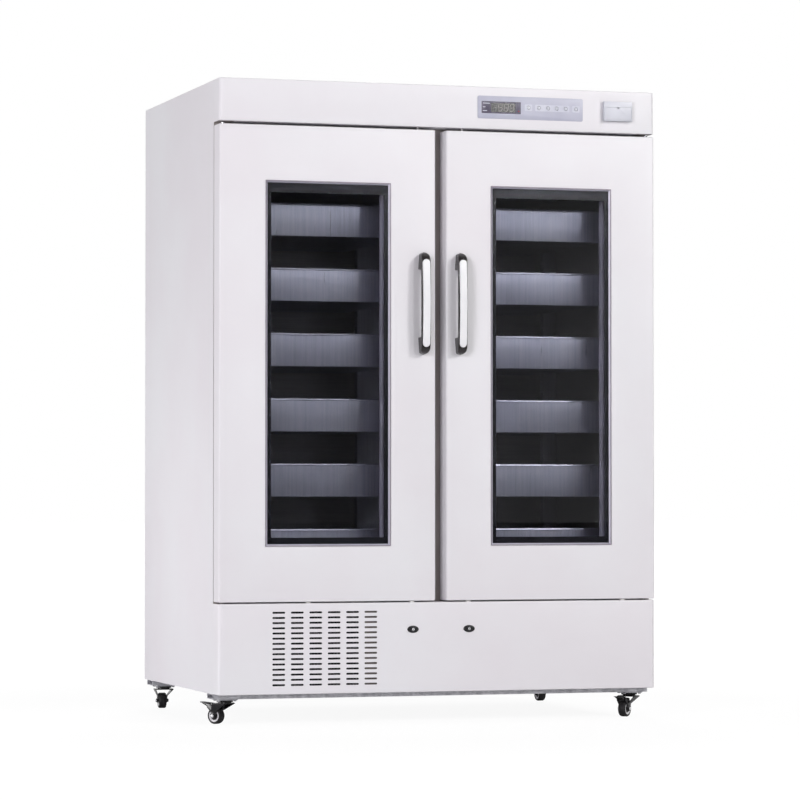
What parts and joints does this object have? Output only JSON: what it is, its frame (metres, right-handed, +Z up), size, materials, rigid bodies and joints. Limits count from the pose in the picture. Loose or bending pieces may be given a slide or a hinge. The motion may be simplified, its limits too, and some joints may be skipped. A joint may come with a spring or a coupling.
{
  "type": "blood bank refrigerator",
  "caption": "Upright two-door blood bank refrigerator with tall glazed windows, pull-out drawers, head controls with a chart printer, key locks and swivel casters.",
  "frame": {"origin": "on the floor, under the centre of the cabinet", "axes": "+Z up, doors face -Y, +X to the right of someone facing the doors"},
  "size_m": [1.4158, 1.009, 1.948],
  "materials": {
    "white_paint": "baked powder coat, off-white, low gloss",
    "galvanised": "zinc-coated sheet, dull spangle",
    "stainless": "brushed stainless sheet",
    "white_plastic": "vacuum-formed, matt",
    "grey_plastic": "moulded, matt",
    "foam": "rigid foamed insulation",
    "gasket": "soft extruded seal with a magnet strip",
    "trim_aluminium": "satin anodised",
    "window_glass": "clear sealed double glazing, black printed border",
    "handle_black": "moulded, matt, with a pale insert",
    "overlay": "printed film on a plate, silver, with a dark display",
    "button_grey": "moulded key caps",
    "printer_plastic": "moulded, light grey",
    "lock_metal": "plated key barrel and steel cam",
    "caster_steel": "gloss black coated pressed steel",
    "caster_plate": "zinc-plated plate, race and bolts",
    "caster_wheel": "black tread on a black rim",
    "copper_coil": "finned coil in a sheet shroud",
    "fan_plastic": "moulded fan",
    "black_can": "black painted hermetic can"
  },
  "bodies": {
    "root": {"outer_shell": "white_paint", "rear_panel": "white_paint", "foam_insulation": "foam", "inner_liner": "white_plastic", "face_frame": "grey_plastic", "head_fascia": "white_paint", "lower_panel": "white_paint", "drawer_rack": "stainless", "control_panel": "overlay", "printer_housing": "printer_plastic", "base_frame": "galvanised", "caster_plates": "caster_plate", "evaporator_housing": "white_plastic", "condenser": "copper_coil", "compressor": "black_can"},
    "left_door": {"left_door_shell": "white_paint", "left_door_liner": "white_plastic", "left_door_gasket": "gasket", "left_window_trim": "trim_aluminium", "left_glazing": "window_glass", "left_handle": "handle_black"},
    "left_drawer_1": {"left_drawer_1": "stainless"},
    "left_drawer_2": {"left_drawer_2": "stainless"},
    "left_drawer_3": {"left_drawer_3": "stainless"},
    "left_drawer_4": {"left_drawer_4": "stainless"},
    "left_drawer_5": {"left_drawer_5": "stainless"},
    "left_drawer_6": {"left_drawer_6": "stainless"},
    "right_door": {"right_door_shell": "white_paint", "right_door_liner": "white_plastic", "right_door_gasket": "gasket", "right_window_trim": "trim_aluminium", "right_glazing": "window_glass", "right_handle": "handle_black"},
    "right_drawer_1": {"right_drawer_1": "stainless"},
    "right_drawer_2": {"right_drawer_2": "stainless"},
    "right_drawer_3": {"right_drawer_3": "stainless"},
    "right_drawer_4": {"right_drawer_4": "stainless"},
    "right_drawer_5": {"right_drawer_5": "stainless"},
    "right_drawer_6": {"right_drawer_6": "stainless"},
    "button_1": {"button_1": "button_grey"},
    "button_2": {"button_2": "button_grey"},
    "button_3": {"button_3": "button_grey"},
    "button_4": {"button_4": "button_grey"},
    "button_5": {"button_5": "button_grey"},
    "button_6": {"button_6": "button_grey"},
    "printer_flap": {"printer_flap": "printer_plastic"},
    "left_lock": {"left_lock": "lock_metal"},
    "right_lock": {"right_lock": "lock_metal"},
    "evaporator_fan": {"evaporator_fan": "fan_plastic"},
    "condenser_fan": {"condenser_fan": "fan_plastic"},
    "caster_fork_front_left": {"caster_fork_front_left": "caster_steel"},
    "caster_wheel_front_left": {"caster_wheel_front_left": "caster_wheel"},
    "brake_pedal_front_left": {"brake_pedal_front_left": "caster_steel"},
    "caster_fork_front_right": {"caster_fork_front_right": "caster_steel"},
    "caster_wheel_front_right": {"caster_wheel_front_right": "caster_wheel"},
    "brake_pedal_front_right": {"brake_pedal_front_right": "caster_steel"},
    "caster_fork_rear_left": {"caster_fork_rear_left": "caster_steel"},
    "caster_wheel_rear_left": {"caster_wheel_rear_left": "caster_wheel"},
    "caster_fork_rear_right": {"caster_fork_rear_right": "caster_steel"},
    "caster_wheel_rear_right": {"caster_wheel_rear_right": "caster_wheel"}
  },
  "joints": [
    {"name": "left_door", "type": "hinge", "parent": "root", "child": "left_door", "pos_m": [-0.682, -0.4335, 1.09], "axis": [0, 0, -1], "range_deg": [0, 110]},
    {"name": "left_drawer_1", "type": "slide", "parent": "root", "child": "left_drawer_1", "axis": [0, -1, 0], "range_m": [0, 0.28]},
    {"name": "left_drawer_2", "type": "slide", "parent": "root", "child": "left_drawer_2", "axis": [0, -1, 0], "range_m": [0, 0.28]},
    {"name": "left_drawer_3", "type": "slide", "parent": "root", "child": "left_drawer_3", "axis": [0, -1, 0], "range_m": [0, 0.28]},
    {"name": "left_drawer_4", "type": "slide", "parent": "root", "child": "left_drawer_4", "axis": [0, -1, 0], "range_m": [0, 0.28]},
    {"name": "left_drawer_5", "type": "slide", "parent": "root", "child": "left_drawer_5", "axis": [0, -1, 0], "range_m": [0, 0.28]},
    {"name": "left_drawer_6", "type": "slide", "parent": "root", "child": "left_drawer_6", "axis": [0, -1, 0], "range_m": [0, 0.28]},
    {"name": "right_door", "type": "hinge", "parent": "root", "child": "right_door", "pos_m": [0.682, -0.4335, 1.09], "axis": [0, 0, 1], "range_deg": [0, 110]},
    {"name": "right_drawer_1", "type": "slide", "parent": "root", "child": "right_drawer_1", "axis": [0, -1, 0], "range_m": [0, 0.28]},
    {"name": "right_drawer_2", "type": "slide", "parent": "root", "child": "right_drawer_2", "axis": [0, -1, 0], "range_m": [0, 0.28]},
    {"name": "right_drawer_3", "type": "slide", "parent": "root", "child": "right_drawer_3", "axis": [0, -1, 0], "range_m": [0, 0.28]},
    {"name": "right_drawer_4", "type": "slide", "parent": "root", "child": "right_drawer_4", "axis": [0, -1, 0], "range_m": [0, 0.28]},
    {"name": "right_drawer_5", "type": "slide", "parent": "root", "child": "right_drawer_5", "axis": [0, -1, 0], "range_m": [0, 0.28]},
    {"name": "right_drawer_6", "type": "slide", "parent": "root", "child": "right_drawer_6", "axis": [0, -1, 0], "range_m": [0, 0.28]},
    {"name": "button_1", "type": "slide", "parent": "root", "child": "button_1", "axis": [0, 1, 0], "range_m": [0, 0.0012], "stiffness_N_per_m": 900},
    {"name": "button_2", "type": "slide", "parent": "root", "child": "button_2", "axis": [0, 1, 0], "range_m": [0, 0.0012], "stiffness_N_per_m": 900},
    {"name": "button_3", "type": "slide", "parent": "root", "child": "button_3", "axis": [0, 1, 0], "range_m": [0, 0.0012], "stiffness_N_per_m": 900},
    {"name": "button_4", "type": "slide", "parent": "root", "child": "button_4", "axis": [0, 1, 0], "range_m": [0, 0.0012], "stiffness_N_per_m": 900},
    {"name": "button_5", "type": "slide", "parent": "root", "child": "button_5", "axis": [0, 1, 0], "range_m": [0, 0.0012], "stiffness_N_per_m": 900},
    {"name": "button_6", "type": "slide", "parent": "root", "child": "button_6", "axis": [0, 1, 0], "range_m": [0, 0.0012], "stiffness_N_per_m": 900},
    {"name": "printer_flap", "type": "hinge", "parent": "root", "child": "printer_flap", "pos_m": [0.57575, -0.4705, 1.8607], "axis": [1, 0, 0], "range_deg": [0, 90]},
    {"name": "left_lock", "type": "hinge", "parent": "root", "child": "left_lock", "pos_m": [-0.09, -0.4585, 0.284], "axis": [0, 1, 0], "range_deg": [0, 90]},
    {"name": "right_lock", "type": "hinge", "parent": "root", "child": "right_lock", "pos_m": [0.09, -0.4585, 0.284], "axis": [0, -1, 0], "range_deg": [0, 90]},
    {"name": "evaporator_fan", "type": "hinge", "parent": "root", "child": "evaporator_fan", "pos_m": [0, -0.0382, 1.7147], "axis": [0, 1, 0], "continuous": true},
    {"name": "condenser_fan", "type": "hinge", "parent": "root", "child": "condenser_fan", "pos_m": [-0.38, -0.2758, 0.2145], "axis": [0, 1, 0], "continuous": true},
    {"name": "caster_fork_front_left", "type": "hinge", "parent": "root", "child": "caster_fork_front_left", "pos_m": [-0.654, -0.3555, 0.065], "axis": [0, 0, 1], "continuous": true},
    {"name": "caster_wheel_front_left", "type": "hinge", "parent": "caster_fork_front_left", "child": "caster_wheel_front_left", "pos_m": [-0.67432, -0.3295, 0.025], "axis": [-0.788, -0.6157, 0], "continuous": true},
    {"name": "brake_pedal_front_left", "type": "hinge", "parent": "caster_fork_front_left", "child": "brake_pedal_front_left", "pos_m": [-0.68478, -0.3161, 0.054], "axis": [-0.788, -0.6157, 0], "range_deg": [0, 8]},
    {"name": "caster_fork_front_right", "type": "hinge", "parent": "root", "child": "caster_fork_front_right", "pos_m": [0.654, -0.3555, 0.065], "axis": [0, 0, 1], "continuous": true},
    {"name": "caster_wheel_front_right", "type": "hinge", "parent": "caster_fork_front_right", "child": "caster_wheel_front_right", "pos_m": [0.62987, -0.37801, 0.025], "axis": [0.682, -0.7314, 0], "continuous": true},
    {"name": "brake_pedal_front_right", "type": "hinge", "parent": "caster_fork_front_right", "child": "brake_pedal_front_right", "pos_m": [0.61743, -0.3896, 0.054], "axis": [0.682, -0.7314, 0], "range_deg": [0, 8]},
    {"name": "caster_fork_rear_left", "type": "hinge", "parent": "root", "child": "caster_fork_rear_left", "pos_m": [-0.654, 0.4305, 0.065], "axis": [0, 0, 1], "continuous": true},
    {"name": "caster_wheel_rear_left", "type": "hinge", "parent": "caster_fork_rear_left", "child": "caster_wheel_rear_left", "pos_m": [-0.6517, 0.46342, 0.025], "axis": [-0.9976, 0.0698, 0], "continuous": true},
    {"name": "caster_fork_rear_right", "type": "hinge", "parent": "root", "child": "caster_fork_rear_right", "pos_m": [0.654, 0.4305, 0.065], "axis": [0, 0, 1], "continuous": true},
    {"name": "caster_wheel_rear_right", "type": "hinge", "parent": "caster_fork_rear_right", "child": "caster_wheel_rear_right", "pos_m": [0.6517, 0.46342, 0.025], "axis": [-0.9976, -0.0698, 0], "continuous": true}
  ],
  "couplings": [
    {"joint": "left_drawer_1", "follows": "left_door", "m_per_rad": 0.145},
    {"joint": "left_drawer_2", "follows": "left_door", "m_per_rad": 0.145},
    {"joint": "left_drawer_3", "follows": "left_door", "m_per_rad": 0.145},
    {"joint": "left_drawer_4", "follows": "left_door", "m_per_rad": 0.145},
    {"joint": "left_drawer_5", "follows": "left_door", "m_per_rad": 0.145},
    {"joint": "left_drawer_6", "follows": "left_door", "m_per_rad": 0.145},
    {"joint": "right_drawer_1", "follows": "right_door", "m_per_rad": 0.145},
    {"joint": "right_drawer_2", "follows": "right_door", "m_per_rad": 0.145},
    {"joint": "right_drawer_3", "follows": "right_door", "m_per_rad": 0.145},
    {"joint": "right_drawer_4", "follows": "right_door", "m_per_rad": 0.145},
    {"joint": "right_drawer_5", "follows": "right_door", "m_per_rad": 0.145},
    {"joint": "right_drawer_6", "follows": "right_door", "m_per_rad": 0.145}
  ]
}
